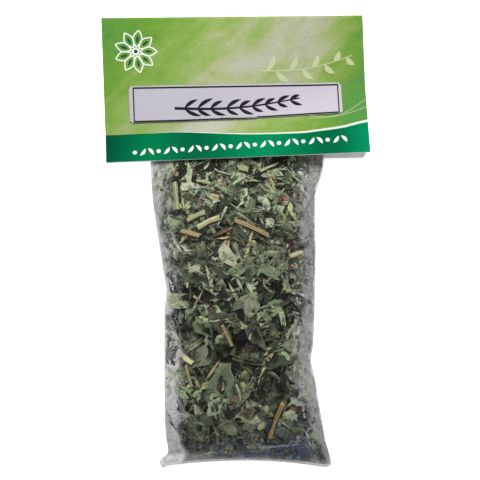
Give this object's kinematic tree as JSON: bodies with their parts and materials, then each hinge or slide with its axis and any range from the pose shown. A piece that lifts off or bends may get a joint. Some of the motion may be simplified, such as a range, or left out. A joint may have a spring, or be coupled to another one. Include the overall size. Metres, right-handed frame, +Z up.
{
  "type": "dried herb packet",
  "caption": "Clear film packet of dried, cut tarragon, closed by a folded card header that is stapled over its flattened mouth; lies on its back",
  "frame": {"origin": "under the middle of the packet, on the surface that it lies on", "axes": "+Y runs up the packet towards the header card, +X to the right as the printed side is read, +Z up and out of the printed side"},
  "size_m": [0.0905, 0.1557, 0.0186],
  "materials": {
    "film": "clear, thin and slightly milky",
    "leaves": "dry, crumpled, grey-green",
    "stem_straw": "dry straw",
    "stem_olive": "dry olive green",
    "stem_tan": "dry tan",
    "brown_leaf": "dry red-brown",
    "card": "semi-gloss print, green wash over white",
    "strip": "matt, off-white with a dark border line",
    "steel": "bright wire"
  },
  "bodies": {
    "root": {"bag_film": "film", "tarragon_leaves": "leaves", "stem_bit_1": "stem_straw", "stem_bit_2": "stem_straw", "stem_bit_3": "stem_tan", "stem_bit_4": "stem_olive", "stem_bit_5": "stem_tan", "stem_bit_6": "stem_straw", "stem_bit_7": "stem_straw", "stem_bit_8": "stem_straw", "stem_bit_9": "stem_straw", "stem_bit_10": "stem_straw", "stem_bit_11": "stem_tan", "stem_bit_12": "stem_tan", "stem_bit_13": "stem_olive", "stem_bit_14": "stem_tan", "brown_bit_1": "brown_leaf", "brown_bit_2": "brown_leaf", "brown_bit_3": "brown_leaf", "brown_bit_4": "brown_leaf", "brown_bit_5": "brown_leaf", "brown_bit_6": "brown_leaf", "brown_bit_7": "brown_leaf", "brown_bit_8": "brown_leaf", "header_card": "card", "name_strip": "strip", "staple": "steel"}
  },
  "joints": []
}
